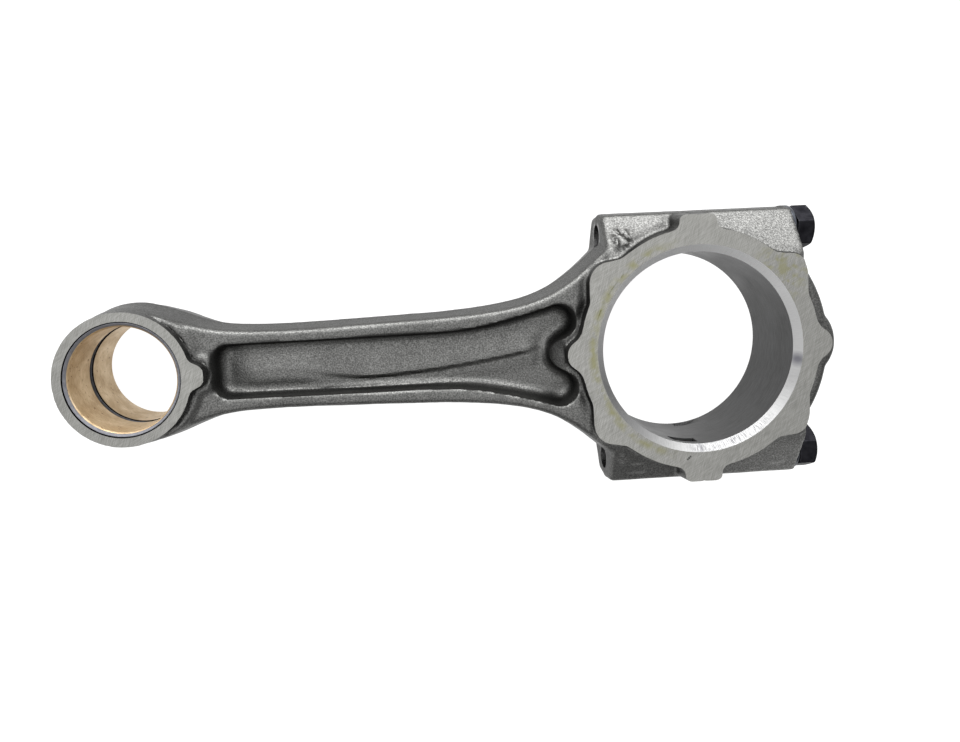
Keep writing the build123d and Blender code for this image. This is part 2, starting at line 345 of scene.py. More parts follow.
def land_outline(obj):
    """Search tree of points along the outer edges of the machined lands."""
    work = bmesh.new()
    work.from_mesh(obj.data)
    samples = []
    for edge in work.edges:
        a, b = (vert.co for vert in edge.verts)
        if min(a.z, b.z) < FACE_Z - TOUCH:
            continue
        if all(abs(face.normal.z) > 0.99 for face in edge.link_faces):
            continue
        middle = (a + b) / 2
        near_crank = middle.xy.length < CRANK_R + CRANK_CHAMFER + CRANK_RIM
        near_pin = (middle.xy - Vector((PIN_X, 0))).length < PIN_HOUSING_R + PIN_RIM
        if near_crank or near_pin or abs(middle.x) < TOUCH:
            continue
        steps = max(1, int((a - b).length / OUTLINE_STEP))
        samples += [a.lerp(b, i / steps) for i in range(steps)]
    work.free()
    tree = kdtree.KDTree(len(samples))
    for i, sample in enumerate(samples):
        tree.insert((sample.x, sample.y, 0), i)
    tree.balance()
    return tree


def add_stock(points, joint_side):
    """Move every machined surface outwards, as it was before machining."""
    x, y, z = points.T
    crank = np.hypot(x, y)
    inside = crank < CRANK_R + CRANK_CHAMFER + CRANK_MARGIN
    shrink = np.where(inside, (CRANK_R - STOCK) / crank, 1)
    x *= shrink
    y *= shrink
    pin = np.hypot(x - PIN_X, y)
    inside = pin < PIN_HOUSING_R + PIN_MARGIN
    shrink = np.where(inside, (PIN_HOUSING_R - STOCK) / pin, 1)
    x[:] = PIN_X + (x - PIN_X) * shrink
    y *= shrink
    top = np.abs(z) > FACE_Z - FACE_MARGIN
    z[top] = np.sign(z[top]) * (FACE_Z + STOCK)
    joint = np.abs(x) < JOINT_MARGIN
    x[joint] = joint_side * STOCK


def field(points, size, seed):
    """Smooth noise between about -1 and 1, with features of the given size."""
    shift = Vector((seed, -seed, 2 * seed))
    return np.array([noise.noise(Vector(p / size) + shift) for p in points])


def forged_pocket(points, normals):
    """Crowned pocket floors, with the fold that runs across the front one."""
    x, y, z = points.T
    floor = (np.abs(z) > POCKET_FLOOR_LOW) & (np.abs(z) < POCKET_FLOOR_HIGH)
    floor = floor * ease(*FLOOR_FACING, np.abs(normals[:, 2]))
    floor *= ease(POCKET_START_X, POCKET_START_X + POCKET_START_EASE, x)
    floor *= 1 - ease(POCKET_END_X - POCKET_END_EASE, POCKET_END_X, x)
    plain = np.clip(1 - (y / CROWN_HALF_WIDTH) ** 2, 0, 1)
    t = np.clip((x - FOLD_START_X) / FOLD_LENGTH, 0, 1)
    start = ease(FOLD_START_X - FOLD_EASE_BEFORE, FOLD_START_X + FOLD_EASE_AFTER, x)
    fade = start * (1 - ease(*FOLD_FADE_X, x))
    crest_y = FOLD_START_Y + FOLD_RISE * t**FOLD_POWER + FOLD_START_SHIFT * (1 - start)
    above = np.clip((CROWN_HALF_WIDTH - y) / (CROWN_HALF_WIDTH - crest_y), 0, 1)
    below = np.maximum(crest_y - y, 0)
    folded = above * (1 - fade * FOLD_SHARE * ease(0, FOLD_STEP, below))
    folded *= 1 - ease(FOLD_STEP, FOLD_FOOT, below)
    z += np.sign(z) * floor * CROWN_HEIGHT * np.where(z > 0, folded, plain)


def forged_roots(points, outline, upper, lower):
    """A valley at the foot of every crank land, and a low ridge round the pin land."""
    x, y, z = points.T
    height = np.abs(z)
    top_low, top_high = (FACE_Z - below for below in ROOT_TOP)
    weight = ease(*ROOT_HEIGHTS, height) * (1 - ease(top_low, top_high, height))
    depth = lower + (upper - lower) * ease(-ROOT_SIDES, ROOT_SIDES, y)
    depth += LOBE_ROOT * (x < 0) * (1 - ease(*LOBE_HALF_WIDTHS, np.abs(y)))
    for i in np.nonzero(weight)[0]:
        distance = outline.find((x[i], y[i], 0))[2]
        if distance > ROOT_REACH:
            continue
        if x[i] < BEAM_MIDDLE_X:
            ridge = ease(*PIN_RIDGE_RISE, distance) * (1 - ease(PIN_RIDGE_FALL, ROOT_REACH, distance))
            z[i] += np.sign(z[i]) * weight[i] * PIN_RIDGE * ridge
        else:
            z[i] -= np.sign(z[i]) * weight[i] * depth[i] * (1 - distance / ROOT_REACH) ** ROOT_POWER


def nose_strips(points):
    """Slope the narrow strip between each land nose and the pocket down into the pocket."""
    x, y, z = points.T
    height = np.abs(z)
    for (start_x, start_z), (end_x, end_z), half_width in NOSE_STRIPS:
        along = (x - start_x) / (end_x - start_x)
        limit = start_z + (end_z - start_z) * along
        mask = (along > 0) & (along < 1)
        mask = mask * (1 - ease(half_width, half_width + NOSE_STRIP_EASE, np.abs(y)))
        z -= np.sign(z) * mask * np.maximum(height - limit, 0)


def forged_skin(points, normals):
    """Uneven skin, and the trimmed flash line halfway through the depth."""
    z = points[:, 2]
    lift = sum(height * field(points, size, seed) for height, size, seed in SKIN_WAVES)
    side = 1 - ease(*SIDE_FACING, np.abs(normals[:, 2]))
    lift += side * np.exp(-((z / FLASH_HALF_WIDTH) ** 2)) * FLASH_HEIGHT
    points += normals * lift[:, None]


def dents(points, centre, radius):
    """Small hollows within a radius on the front of a boss roof."""
    x, y, z = points.T
    reach = np.hypot(x - centre[0], y - centre[1])
    mask = (z > 0) * (1 - ease(0.6 * radius, radius, reach))
    chosen = np.nonzero(mask)[0]
    hollows = np.clip(field(points[chosen], SCUFF_GRAIN, SCUFF_SEED) + 0.1, 0, 1)
    z[chosen] -= mask[chosen] * SCUFF_DEPTH * hollows


def blank_pad(points, centre, half_x, half_y, height):
    """A plain raised pad on a boss roof."""
    x, y, z = points.T
    mask = 1 - ease(half_x - PAD_EDGE, half_x + PAD_EDGE, np.abs(x - centre[0]))
    mask *= 1 - ease(half_y - PAD_EDGE, half_y + PAD_EDGE, np.abs(y - centre[1]))
    z += np.where(z > 0, mask * height, 0)


def machine_crank_end(obj):
    """Faces, bore and chamfers in one: what lies outside this ring goes."""
    wall = FACE_Z - CRANK_CHAMFER
    lip = CRANK_R + CRANK_CHAMFER
    ring = [(CRANK_R, -wall), (lip, -FACE_Z), (FAR, -FACE_Z)]
    ring += [(FAR, FACE_Z), (lip, FACE_Z), (CRANK_R, wall)]
    cut(obj, turned(ring, CRANK_SEGMENTS, Matrix.Identity(4), closed=True), "INTERSECT")


def machine_pin_end(obj):
    """Housing bore with its widened mouth at both faces."""
    reach = FACE_Z + 2 * STOCK
    step = FACE_Z - SEAM_DEPTH
    mouth = PIN_HOUSING_R + SEAM_WIDTH
    rows = [(mouth, -reach), (mouth, -step), (PIN_HOUSING_R, -step)]
    rows += [(PIN_HOUSING_R, step), (mouth, step), (mouth, reach)]
    cut(obj, turned(rows, PIN_SEGMENTS, Matrix.Translation((PIN_X, 0, 0))))


def tang_slot(obj, z):
    """Slot for a bearing shell's tang, cut with a disc at the given height."""
    rows = [(TANG_CUTTER_R, z - TANG_WIDTH / 2), (TANG_CUTTER_R, z + TANG_WIDTH / 2)]
    cut(obj, turned(rows, TANG_SEGMENTS, Matrix.Translation((0, TANG_CENTRE_Y, 0))))


def blank_forging(name, node, start_x, end_x, joint_side):
    """Voxel copy of a CAD node, its bolt holes plugged and machined surfaces left proud."""
    obj = copy_of_node(name, node)
    outline = land_outline(obj)
    for y in (BOLT_Y, -BOLT_Y):
        cut(obj, turned([(PLUG_R, start_x), (PLUG_R, end_x)], BOLT_SEGMENTS, along_x(y)), "UNION")
    apply_modifier(obj, "REMESH", mode="VOXEL", voxel_size=VOXEL)
    points = points_of(obj.data)
    add_stock(points, joint_side)
    set_points(obj.data, points)
    smooth(obj, SMOOTH_PASSES)
    return obj, outline


def rod_forging():
    start_x, end_x = BOSS_END_X + PLUG_INSET, -PLUG_JOINT_GAP
    obj, outline = blank_forging("rod_forging", "rod_body", start_x, end_x, 1)
    points, normals = points_of(obj.data), normals_of(obj.data)
    forged_pocket(points, normals)
    nose_strips(points)
    forged_roots(points, outline, ROD_ROOT_UPPER, ROD_ROOT_LOWER)
    forged_skin(points, normals)
    dents(points, SCUFF_CENTRE, SCUFF_R)
    blank_pad(points, *ROD_PAD)
    set_points(obj.data, points)
    smooth(obj, 1)
    machine_crank_end(obj)
    machine_pin_end(obj)
    cut(obj, box_tool((0, -HALF_SPACE, -HALF_SPACE), (HALF_SPACE, HALF_SPACE, HALF_SPACE)))
    tang_slot(obj, TANG_Z_ROD)
    for y in (BOLT_Y, -BOLT_Y):
        drill = [(DRILL_R, BOSS_END_X - STOCK), (DRILL_R, TAPPED_END_X + THREAD_PITCH)]
        cut(obj, turned(drill, BOLT_SEGMENTS, along_x(y)))
        root_r = TAPPED_R + THREAD_DEPTH
        bottom = [(TAPPED_R, TAPPED_END_X - 0.1 * MM)]
        thread = threaded_rows(root_r, THREAD_DEPTH, TAPPED_END_X, -0.6 * MM)
        sink = [(root_r, 0), (root_r, STOCK)]
        cut(obj, turned(bottom + thread + sink, BOLT_SEGMENTS, along_x(y)))
    return obj


def cap_forging():
    start_x, end_x = PLUG_JOINT_GAP, SEAT_X - PLUG_INSET
    obj, outline = blank_forging("cap_forging", "bearing_cap", start_x, end_x, -1)
    points, normals = points_of(obj.data), normals_of(obj.data)
    forged_roots(points, outline, CAP_ROOT, CAP_ROOT)
    forged_skin(points, normals)
    blank_pad(points, *CAP_PAD)
    set_points(obj.data, points)
    smooth(obj, 1)
    machine_crank_end(obj)
    cut(obj, box_tool((-HALF_SPACE, -HALF_SPACE, -HALF_SPACE), (0, HALF_SPACE, HALF_SPACE)))
    tang_slot(obj, TANG_Z_CAP)
    for y in (BOLT_Y, -BOLT_Y):
        sink_r = CAP_HOLE_R + CAP_HOLE_SINK
        hole = [(sink_r, -STOCK), (sink_r, 0), (CAP_HOLE_R, CAP_HOLE_SINK)]
        hole += [(CAP_HOLE_R, SEAT_X - SPOTFACE_DEPTH), (SPOTFACE_R, SEAT_X - SPOTFACE_DEPTH)]
        hole += [(SPOTFACE_R, SEAT_X + 8 * STOCK)]
        cut(obj, turned(hole, SPOTFACE_SEGMENTS, along_x(y)))
    return obj


# ---------------------------------------------------------------- bolts, washers, bush


def bolt(side, y):
    """Rolled head with soft edges on a turned shank with a real thread."""
    obj = copy_of_node(f"bolt_{side}", f"cap_bolt_{side}")
    head_room = box_tool((WASHER_TOP_X, -HALF_SPACE, -HALF_SPACE), (HALF_SPACE, HALF_SPACE, HALF_SPACE))
    cut(obj, head_room, "INTERSECT")
    apply_modifier(obj, "REMESH", mode="VOXEL", voxel_size=HEAD_VOXEL)
    smooth(obj, HEAD_SMOOTH_PASSES)
    tip = [(THREAD_R - TIP_CHAMFER, BOLT_TIP_X), (THREAD_R - THREAD_DEPTH, BOLT_TIP_X + TIP_RISE)]
    thread = threaded_rows(THREAD_R, THREAD_DEPTH, BOLT_TIP_X + TIP_CHAMFER, THREAD_START_X)
    neck = [(RELIEF_R, THREAD_START_X + NECK_FRONT), (RELIEF_R, SHANK_START_X - NECK_BACK)]
    shank = [(SHANK_R, SHANK_START_X), (SHANK_R, WASHER_TOP_X + SHANK_OVERLAP)]
    cut(obj, turned(tip + thread + neck + shank, BOLT_SEGMENTS, along_x(y)), "UNION")
    return obj


def washer(side, y):
    """Washer with an eased outer edge and broken bore edges."""
    bore = 5.3 * MM
    edge = 0.35 * MM
    rows = [
        (bore, SEAT_X + edge),
        (bore + edge, SEAT_X),
        (WASHER_R - edge, SEAT_X),
        (WASHER_R - 0.3 * edge, SEAT_X + 0.3 * edge),
        (WASHER_R, SEAT_X + edge),
        (WASHER_R, WASHER_TOP_X - 2 * edge),
        (WASHER_R - 0.6 * edge, WASHER_TOP_X - 0.6 * edge),
        (WASHER_R - 2 * edge, WASHER_TOP_X),
        (bore + edge, WASHER_TOP_X),
        (bore, WASHER_TOP_X - edge),
    ]
    obj = turned(rows, WASHER_SEGMENTS, along_x(y), closed=True)
    obj.name = f"washer_{side}"
    return obj


def bush_layer(name, outer, inner, mouth_z, facing):
    """One layer of one bush, with its conical mouth and slightly broken edges."""
    edge = 0.12 * MM
    face_z = mouth_z + outer - inner
    rows = [(inner + edge, BUSH_MID_Z), (outer - edge, BUSH_MID_Z), (outer, BUSH_MID_Z + edge)]
    if face_z > BUSH_FACE_Z:
        rows += [(outer, BUSH_FACE_Z - 2 * edge), (outer - 2 * edge, BUSH_FACE_Z)]
    else:
        rows += [(outer, face_z)]
    rows += [(inner + edge, mouth_z + edge), (inner, mouth_z - edge), (inner, BUSH_MID_Z + edge)]
    rows = [(radius, height * facing) for radius, height in rows]
    obj = turned(rows, BUSH_SEGMENTS, Matrix.Translation((PIN_X, 0, 0)), closed=True)
    obj.name = name
    return obj


# ---------------------------------------------------------------- materials

# Marks on the ground faces and on the crank chamfer
DYE_ARC_R = 39.2 * MM
DYE_BLOTCH = (31.0 * MM, 27.0 * MM)
NICK_DOTS = [
    ((-5.9 * MM, -39.9 * MM), 0.3 * MM),
    ((-5.4 * MM, -39.4 * MM), 0.35 * MM),
    ((-4.9 * MM, -38.9 * MM), 0.3 * MM),
]
CHAMFER_SPOT = (35.9 * MM, -5.6 * MM)
CHAMFER_JOINT_X = -0.6 * MM


class Shading:
    """A Principled material, with short calls for its nodes."""

    def __init__(self, name, **constants):
        self.material = bpy.data.materials.new(name)
        self.material.use_nodes = True
        self.tree = self.material.node_tree
        self.shader = self.tree.nodes["Principled BSDF"]
        for key, value in constants.items():
            self.shader.inputs[key.replace("_", " ")].default_value = value
        self.where = self.node("ShaderNodeTexCoord").outputs["Object"]

    def node(self, kind, inputs=None, **settings):
        node = self.tree.nodes.new(kind)
        for key, value in settings.items():
            setattr(node, key, value)
        for key, value in (inputs or {}).items():
            if isinstance(value, bpy.types.NodeSocket):
                self.tree.links.new(value, node.inputs[key])
            else:
                node.inputs[key].default_value = value
        return node

    def math(self, operation, first, second=0.0):
        return self.node("ShaderNodeMath", {0: first, 1: second}, operation=operation).outputs[0]

    def noise(self, size, detail=3.0, stretch=None, turn=0.0):
        """Noise with features of a given size in metres, drawn out along an axis if asked."""
        where = self.where
        if stretch:
            scale = [1 / share for share in stretch]
            inputs = {"Vector": where, "Scale": scale, "Rotation": (0, 0, turn)}
            where = self.node("ShaderNodeMapping", inputs, vector_type="TEXTURE").outputs[0]
        inputs = {"Vector": where, "Scale": 1 / size, "Detail": detail}
        return self.node("ShaderNodeTexNoise", inputs).outputs["Fac"]

    def ramp(self, value, stops):
        node = self.node("ShaderNodeValToRGB", {"Fac": value})
        while len(node.color_ramp.elements) < len(stops):
            node.color_ramp.elements.new(0.5)
        for element, (position, shade) in zip(node.color_ramp.elements, stops):
            element.position = position
            element.color = (*shade, 1) if isinstance(shade, tuple) else (shade, shade, shade, 1)
        return node.outputs["Color"]

    def span(self, value, low, high, to_low=0.0, to_high=1.0):
        """Map a range of a value to another, held at both ends."""
        inputs = {"Value": value, "From Min": low, "From Max": high, "To Min": to_low, "To Max": to_high}
        return self.node("ShaderNodeMapRange", inputs).outputs["Result"]

    def mix(self, factor, first, second, blend="MIX"):
        inputs = {0: factor, 6: first, 7: second}
        return self.node("ShaderNodeMix", inputs, data_type="RGBA", blend_type=blend).outputs[2]

    def times(self, colour, other):
        return self.mix(1.0, colour, other, "MULTIPLY")

    def colour(self, value):
        self.tree.links.new(value, self.shader.inputs["Base Color"])

    def roughness(self, value):
        self.tree.links.new(value, self.shader.inputs["Roughness"])

    def bump(self, height, distance, strength=1.0):
        inputs = {"Height": height, "Strength": strength, "Distance": distance}
        bump = self.node("ShaderNodeBump", inputs)
        self.tree.links.new(bump.outputs["Normal"], self.shader.inputs["Normal"])

    def axes(self):
        return self.node("ShaderNodeSeparateXYZ", {"Vector": self.where}).outputs

    def product(self, *factors):
        result = factors[0]
        for factor in factors[1:]:
            result = self.math("MULTIPLY", result, factor)
        return result

    def length(self, x, y):
        return self.math("SQRT", self.math("ADD", self.product(x, x), self.product(y, y)))

    def polar(self):
        """Distance from the crank axis and angle about it."""
        x, y, _ = self.axes()
        return self.length(x, y), self.math("ARCTAN2", y, x)

    def near(self, centre, radius, softness):
        """1 within a radius of a point, seen along Z, falling to 0."""
        x, y, _ = self.axes()
        dx = self.math("SUBTRACT", x, centre[0])
        dy = self.math("SUBTRACT", y, centre[1])
        return self.span(self.length(dx, dy), radius - softness, radius + softness, 1.0, 0.0)


def forging_material():
    s = Shading("shot_blasted_forging", Metallic=1.0, Specular_Tint=(0.6, 0.6, 0.6, 1))
    grain = s.noise(0.5 * MM, 2.0)
    coarse = s.noise(1.6 * MM, 3.0)
    patches = s.noise(16 * MM, 4.0)
    tones = [(0.34, (0.076, 0.076, 0.074)), (0.5, (0.115, 0.115, 0.112)), (0.66, (0.172, 0.172, 0.167))]
    base = s.times(s.ramp(grain, tones), s.ramp(patches, [(0.35, 0.85), (0.65, 1.0)]))
    # Painted shade: the colour darkens wherever ambient occlusion finds nearby surfaces, in creases,
    # pocket corners and at the foot of the lands
    painted_crevice_shade = s.node("ShaderNodeAmbientOcclusion", {"Distance": 6 * MM}, samples=8).outputs["AO"]
    base = s.times(base, s.ramp(painted_crevice_shade, [(0.35, 0.1), (0.88, 1.0)]))
    x, y, z = s.axes()
    # Painted light: the forging is painted up to twice as bright on the cap's lower side, past x 5 mm and
    # below y -28 mm
    painted_light_low_cap = s.product(s.span(x, 5 * MM, 22 * MM), s.span(y, -38 * MM, -28 * MM, 1, 0))
    base = s.times(base, s.ramp(painted_light_low_cap, [(0.0, 1.0), (1.0, 2.0)]))
    scuff = s.product(s.near(SCUFF_CENTRE, 4.4 * MM, 1.6 * MM), s.span(z, 6 * MM, 8 * MM))
    smear = s.span(s.noise(1.5 * MM, 3.0, (1, 0.45, 1), 0.6), 0.47, 0.56)
    base = s.mix(s.product(scuff, smear), base, (0.02, 0.02, 0.019, 1))
    s.colour(base)
    s.roughness(s.span(grain, 0.3, 0.7, 0.44, 0.32))
    s.bump(s.math("ADD", grain, s.product(coarse, 0.5)), 0.085 * MM)
    return s.material


def ground_material():
    s = Shading("ground_face", Metallic=1.0)
    lines = s.noise(0.5 * MM, 3.0, (0.12, 1.6, 1), 1.25)
    cross = s.noise(0.5 * MM, 3.0, (0.10, 1.6, 1), 0.55)
    fine = s.math("ADD", s.product(lines, 0.55), s.product(cross, 0.45))
    tones = [(0.38, (0.215, 0.214, 0.202)), (0.5, (0.268, 0.267, 0.253)), (0.62, (0.33, 0.329, 0.315))]
    base = s.times(s.ramp(fine, tones), s.ramp(s.noise(11 * MM, 3.0), [(0.35, 0.93), (0.65, 1.0)]))
    x, _, z = s.axes()
    front = s.math("GREATER_THAN", z, 0.0)
    radius, angle = s.polar()
    # Yellow dye: streaks along an arc on the rod's side and a blotch on the cap
    blotch = s.span(s.noise(3.2 * MM, 4.0), 0.46, 0.62)
    turn = s.math("ABSOLUTE", angle)
    arc = s.math("ABSOLUTE", s.math("SUBTRACT", radius, DYE_ARC_R))
    streak = s.product(s.span(arc, 0.3 * MM, 2.2 * MM, 1.0, 0.0), s.span(turn, 1.7, 2.1))
    dye = s.product(streak, s.span(s.noise(5 * MM, 3.0), 0.40, 0.58))
    wide = s.product(s.near(DYE_BLOTCH, 9 * MM, 4 * MM), blotch)
    dye = s.product(s.math("MAXIMUM", dye, s.product(wide, 0.8)), front)
    base = s.mix(s.product(dye, 0.75), base, (0.21, 0.205, 0.10, 1))
    # A thin dark line along the arc's upper part
    dark = s.product(s.span(arc, 0.08 * MM, 0.26 * MM, 1.0, 0.0), s.span(angle, 2.05, 2.15))
    dark = s.product(dark, s.span(angle, 2.75, 2.85, 1, 0), blotch, front)
    base = s.mix(dark, base, (0.09, 0.09, 0.03, 1))
    nick = 0.0
    for centre, size in NICK_DOTS:
        nick = s.math("MAXIMUM", nick, s.near(centre, size, 0.2 * MM))
    base = s.mix(s.product(nick, front), base, (0.03, 0.03, 0.03, 1))
    # The joint shows as a hairline
    joint = s.span(s.math("ABSOLUTE", x), 0.05 * MM, 0.16 * MM, 0.88, 1.0)
    grey = s.node("ShaderNodeCombineColor", {0: joint, 1: joint, 2: joint}).outputs[0]
    s.colour(s.times(base, grey))
    s.roughness(s.span(fine, 0.38, 0.62, 0.5, 0.4))
    s.bump(fine, 0.01 * MM)
    return s.material


def bore_material():
    s = Shading("honed_bore", Metallic=1.0)
    hone = s.noise(0.5 * MM, 2.0, (0.12, 0.12, 2.2))
    cloud = s.noise(14 * MM, 3.0)
    base = s.ramp(hone, [(0.35, 0.06), (0.65, 0.088)])
    base = s.times(base, s.ramp(cloud, [(0.35, (0.85, 0.85, 0.86)), (0.65, (1.0, 1.0, 1.0))]))
    s.colour(base)
    s.roughness(s.span(cloud, 0.3, 0.7, 0.42, 0.55))
    s.bump(hone, 0.02 * MM)
    return s.material


def chamfer_material():
    s = Shading("turned_chamfer", Metallic=1.0)
    x, y, z = s.axes()
    angle = s.math("ARCTAN2", y, x)
    place = s.node("ShaderNodeCombineXYZ", {0: angle, 1: 0.0, 2: s.product(z, 2.0)}).outputs[0]
    chatter = s.node("ShaderNodeTexNoise", {"Vector": place, "Scale": 240.0, "Detail": 2.0}).outputs["Fac"]
    sector = s.product(s.span(angle, -1.75, -1.6), s.span(angle, -0.95, -0.75, 1, 0))
    marks = s.product(s.span(chatter, 0.49, 0.45), sector)
    # Painted light: the chamfer is painted lighter towards +Y, from 0.30 at the bottom to 0.92 at the top
    base = s.ramp(s.span(y, -12 * MM, 20 * MM), [(0.0, 0.30), (1.0, 0.92)])
    base = s.times(base, s.ramp(chatter, [(0.35, 0.9), (0.65, 1.0)]))
    base = s.mix(s.product(marks, 0.75), base, (0.06, 0.06, 0.065, 1))
    spot = s.product(s.near(CHAMFER_SPOT, 1.9 * MM, 1.3 * MM), 0.9)
    base = s.mix(spot, base, (0.13, 0.13, 0.15, 1))
    joint = s.math("ABSOLUTE", s.math("SUBTRACT", x, CHAMFER_JOINT_X))
    joint = s.span(joint, 0.1 * MM, 0.7 * MM, 1.0, 0.0)
    joint = s.product(joint, s.span(y, -1 * MM, 1 * MM, 0.6, 0.0))
    base = s.mix(joint, base, (0.15, 0.15, 0.16, 1))
    s.colour(base)
    s.roughness(s.span(chatter, 0.35, 0.65, 0.52, 0.42))
    s.bump(chatter, 0.03 * MM)
    return s.material


def seam_shade_material():
    # Painted shade: near-black colour for the pin housing's narrow mouth seam and its wall behind the
    # bush, where there is only shade
    s = Shading("painted_shade_seam", Metallic=1.0, Specular_Tint=(0.2, 0.2, 0.2, 1))
    s.colour(s.ramp(s.noise(1.5 * MM), [(0.35, 0.003), (0.65, 0.010)]))
    s.roughness(s.span(s.noise(3 * MM), 0.3, 0.7, 0.35, 0.55))
    s.bump(s.noise(0.6 * MM), 0.02 * MM)
    return s.material


def thread_material():
    s = Shading("cut_thread", Metallic=1.0)
    s.colour(s.ramp(s.noise(0.8 * MM), [(0.35, 0.09), (0.65, 0.2)]))
    s.roughness(s.span(s.noise(2 * MM), 0.3, 0.7, 0.35, 0.5))
    s.bump(s.noise(0.3 * MM), 0.02 * MM)
    return s.material


def bolt_material():
    s = Shading("black_oxide", Metallic=1.0, Specular_Tint=(0.5, 0.5, 0.5, 1))
    edges = s.node("ShaderNodeNewGeometry").outputs["Pointiness"]
    base = s.ramp(s.noise(2.5 * MM, 4.0), [(0.3, (0.010, 0.010, 0.012)), (0.7, (0.024, 0.024, 0.028))])
    # Lighter colour along the head's sharp edges, broken up by noise
    lighter_edges = s.product(s.span(edges, 0.53, 0.6), s.span(s.noise(1.4 * MM), 0.35, 0.6))
    s.colour(s.mix(lighter_edges, base, (0.09, 0.09, 0.095, 1)))
    s.roughness(s.span(s.noise(1.1 * MM), 0.3, 0.7, 0.3, 0.46))
    s.bump(s.noise(0.5 * MM), 0.04 * MM)
    return s.material


def washer_material():
    s = Shading("blued_steel", Metallic=1.0)
    lines = s.noise(0.6 * MM, 2.0, (2.0, 0.2, 0.2))
    s.colour(s.ramp(lines, [(0.35, (0.03, 0.032, 0.038)), (0.65, (0.08, 0.086, 0.10))]))
    s.roughness(s.span(s.noise(1.2 * MM), 0.3, 0.7, 0.28, 0.42))
    s.bump(lines, 0.02 * MM)
    return s.material


def backing_material():
    s = Shading("bush_steel_backing", Metallic=1.0, Specular_Tint=(0.6, 0.6, 0.6, 1))
    lines = s.noise(0.5 * MM, 2.0, (0.3, 0.3, 2.5))
    s.colour(s.ramp(lines, [(0.35, (0.22, 0.225, 0.25)), (0.65, (0.29, 0.295, 0.32))]))
    s.roughness(s.span(s.noise(2 * MM), 0.3, 0.7, 0.75, 0.85))
    s.bump(lines, 0.02 * MM)
    return s.material


def bronze_material():
    s = Shading("bush_bronze", Metallic=0.9)
    lines = s.noise(0.55 * MM, 3.0, (0.35, 0.35, 2.0))
    speck = s.noise(1.3 * MM, 3.0)
    cloud = s.noise(7 * MM, 3.0)
    base = s.ramp(lines, [(0.35, (0.50, 0.385, 0.24)), (0.65, (0.64, 0.51, 0.345))])
    base = s.times(base, s.ramp(cloud, [(0.35, (0.78, 0.74, 0.68)), (0.65, (1.0, 1.0, 1.0))]))
    base = s.mix(s.span(speck, 0.64, 0.72), base, (0.16, 0.09, 0.04, 1))
    # Painted shade: the bronze is painted near black next to the gap between the front and rear bushes
    height = s.math("ABSOLUTE", s.axes()[2])
    painted_gap_shade = s.span(height, BUSH_MID_Z + 0.25 * MM, BUSH_MID_Z + 0.5 * MM, 1.0, 0.0)
    base = s.mix(painted_gap_shade, base, (0.012, 0.009, 0.007, 1))
    s.colour(base)
    s.roughness(s.span(cloud, 0.3, 0.7, 0.62, 0.5))
    s.bump(lines, 0.03 * MM)
    return s.material


MATERIALS = [
    forging_material(),
    ground_material(),
    bore_material(),
    chamfer_material(),
    seam_shade_material(),
    thread_material(),
]
FORGED, GROUND, BORE, CHAMFER, SEAM_SHADE, THREAD = range(len(MATERIALS))

# Where the bore, with its tang slots, and the bolt holes end
BORE_REACH = 37 * MM
BORE_HALF_WIDTH = 36 * MM
THREAD_REACH = 5.7 * MM

FORGING_EDGE_ANGLE = 32
PIECE_EDGE_ANGLE = 40


def paint(obj):
    """Forging first, then the machined surfaces by where each face lies."""
    mesh = obj.data
    mesh.materials.clear()
    for material in MATERIALS:
        mesh.materials.append(material)
    centres = np.empty(len(mesh.polygons) * 3, np.float32)
    mesh.polygons.foreach_get("center", centres)
    x, y, z = centres.reshape(-1, 3).T.astype(float)
    depth = np.abs(z)
    crank = np.hypot(x, y)
    index = np.full(len(x), FORGED)
    index[(crank < BORE_REACH) & (np.abs(x) < BORE_HALF_WIDTH)] = BORE
    lip = (crank >= CRANK_R + TOUCH) & (crank < CRANK_R + CRANK_CHAMFER)
    index[lip & (depth >= FACE_Z - CRANK_CHAMFER)] = CHAMFER
    pin = np.hypot(x - PIN_X, y)
    # Painted shade: the pin housing wall and its mouth seam get the near-black seam material
    index[pin < PIN_HOUSING_R + SEAM_WIDTH + 2 * TOUCH] = SEAM_SHADE
    hole = np.hypot(np.abs(y) - BOLT_Y, z)
    index[(hole < THREAD_REACH) & (x > BOSS_END_X) & (np.abs(x) > TOUCH) & (x < SEAT_X)] = THREAD
    index[(hole < SPOTFACE_R + 5 * TOUCH) & (np.abs(x - SEAT_X) < 0.1 * MM)] = GROUND
    index[(depth > FACE_Z - TOUCH) | (np.abs(x) < TOUCH)] = GROUND
    mesh.polygons.foreach_set("material_index", index.astype(np.int32))
    shade(obj, FORGING_EDGE_ANGLE)


def coat(obj, material):
    """One material over a whole piece."""
    obj.data.materials.clear()
    obj.data.materials.append(material)
    obj.data.polygons.foreach_set("material_index", np.zeros(len(obj.data.polygons), np.int32))
    shade(obj, PIECE_EDGE_ANGLE)


def shade(obj, angle):
    """Smooth shading, with a hard edge wherever faces meet at more than the angle."""
    mesh = obj.data
    mesh.polygons.foreach_set("use_smooth", np.ones(len(mesh.polygons), bool))
    mesh.set_sharp_from_angle(angle=radians(angle))


def hand_over(obj, body, node):
    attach(obj, body)
    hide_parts(node)


# ---------------------------------------------------------------- pieces

rod = rod_forging()
paint(rod)
hand_over(rod, "rod", "rod_body")

cap = cap_forging()
paint(cap)
hand_over(cap, "cap", "bearing_cap")

black_oxide = bolt_material()
blued_steel = washer_material()
for side, y in (("upper", BOLT_Y), ("lower", -BOLT_Y)):
    piece = bolt(side, y)
    coat(piece, black_oxide)
    hand_over(piece, f"bolt_{side}", f"cap_bolt_{side}")
    piece = washer(side, y)
    coat(piece, blued_steel)
    hand_over(piece, f"washer_{side}", f"bolt_washer_{side}")

